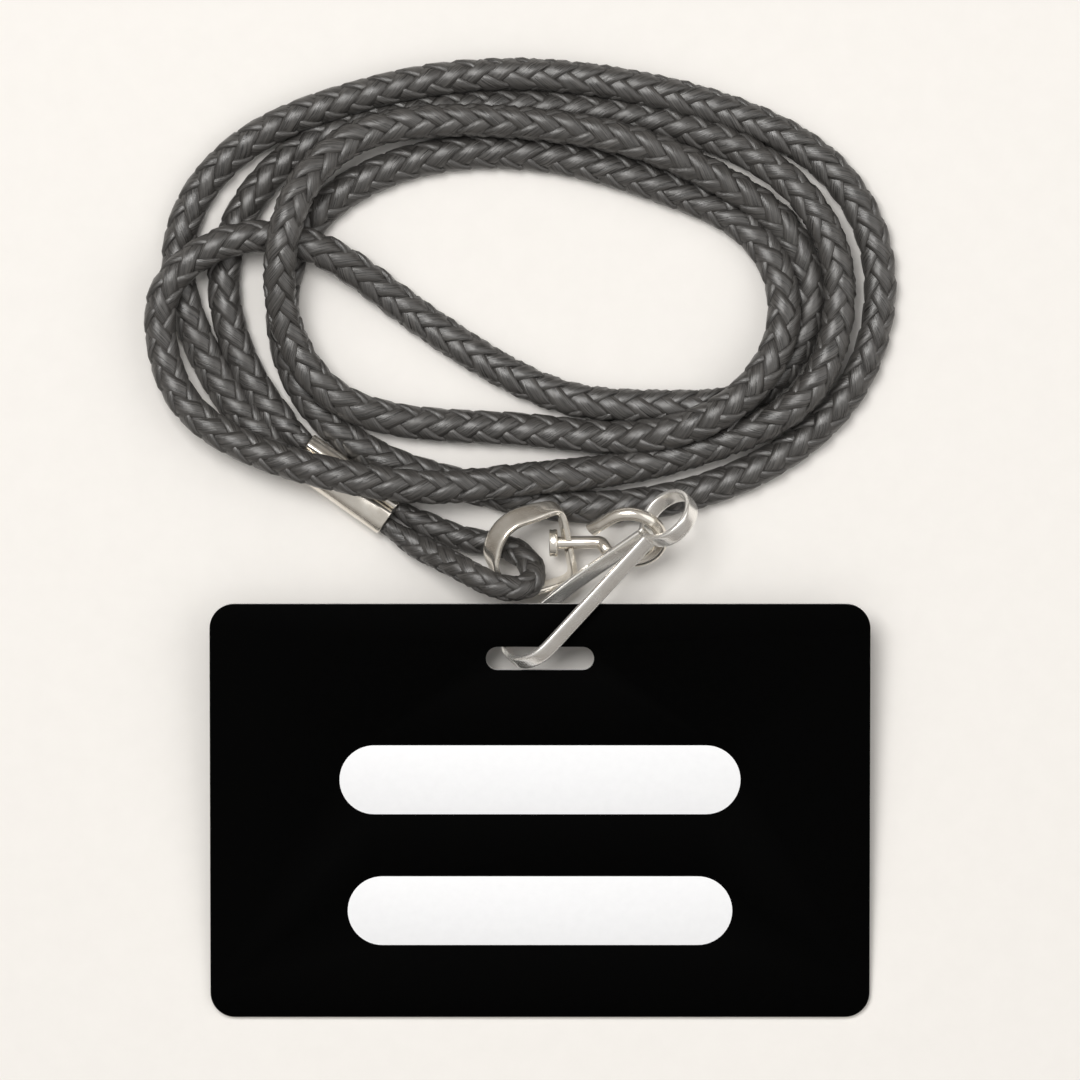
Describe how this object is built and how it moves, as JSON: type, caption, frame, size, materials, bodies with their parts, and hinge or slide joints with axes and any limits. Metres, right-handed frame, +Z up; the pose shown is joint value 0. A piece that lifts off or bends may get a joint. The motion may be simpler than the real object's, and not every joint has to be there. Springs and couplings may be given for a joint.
{
  "type": "lanyard",
  "caption": "Braided neck cord crimped into a loop, with a swivel eye, a ring, a sprung J hook and a slotted badge card hanging on it.",
  "frame": {"origin": "on the table, under the middle of the box round the hardware and the card, without the cord", "axes": "+X to the right along the card's long edge, +Y away from the card's bottom edge towards the coil, +Z up off the table"},
  "size_m": [0.0963, 0.124, 0.0115],
  "materials": {
    "braid": "glossy multifilament braid",
    "nickel": "warm nickel plate",
    "bright_nickel": "polished nickel plate",
    "card_black": "satin gloss",
    "card_white": "satin gloss"
  },
  "bodies": {
    "cord": {"neck_cord": "braid", "hook_cord": "braid", "crimped_strands": "braid", "ferrule": "nickel"},
    "eye": {"eye_strip": "nickel"},
    "swivel": {"swivel_pin": "nickel"},
    "hook": {"hook_wire": "bright_nickel"},
    "gate": {"gate_leg": "bright_nickel"},
    "card": {"card_core": "card_white", "card_front_sheet": "card_black", "card_back_sheet": "card_black", "card_upper_bar": "card_white", "card_lower_bar": "card_white"}
  },
  "joints": [
    {"name": "eye_swing", "type": "hinge", "parent": "cord", "child": "eye", "pos_m": [-0.0056, 0.0195, 0.006], "axis": [-0.8619, -0.507, 0], "range_deg": [0, 9]},
    {"name": "swivel_spin", "type": "hinge", "parent": "eye", "child": "swivel", "pos_m": [0.00354, 0.0238, 0.00326], "axis": [0.9997, 0.0174, 0.0174], "range_deg": [-4, 1.5]},
    {"name": "hook_swing", "type": "hinge", "parent": "swivel", "child": "hook", "pos_m": [0.01536, 0.02554, 0.00725], "axis": [-0.4188, 0.7145, 0.5604], "range_deg": [0, 22]},
    {"name": "gate_flex", "type": "hinge", "parent": "hook", "child": "gate", "pos_m": [0.01331, 0.02464, 0.00669], "axis": [-0.5714, 0.5615, 0.5985], "range_deg": [0, 5.5], "stiffness_Nm_per_rad": 0.02},
    {"name": "card_swing", "type": "hinge", "parent": "hook", "child": "card", "pos_m": [-0.0039, 0.0086, 0.0053], "axis": [0, -0.1063, 0.9943], "range_deg": [-8, 5]}
  ]
}
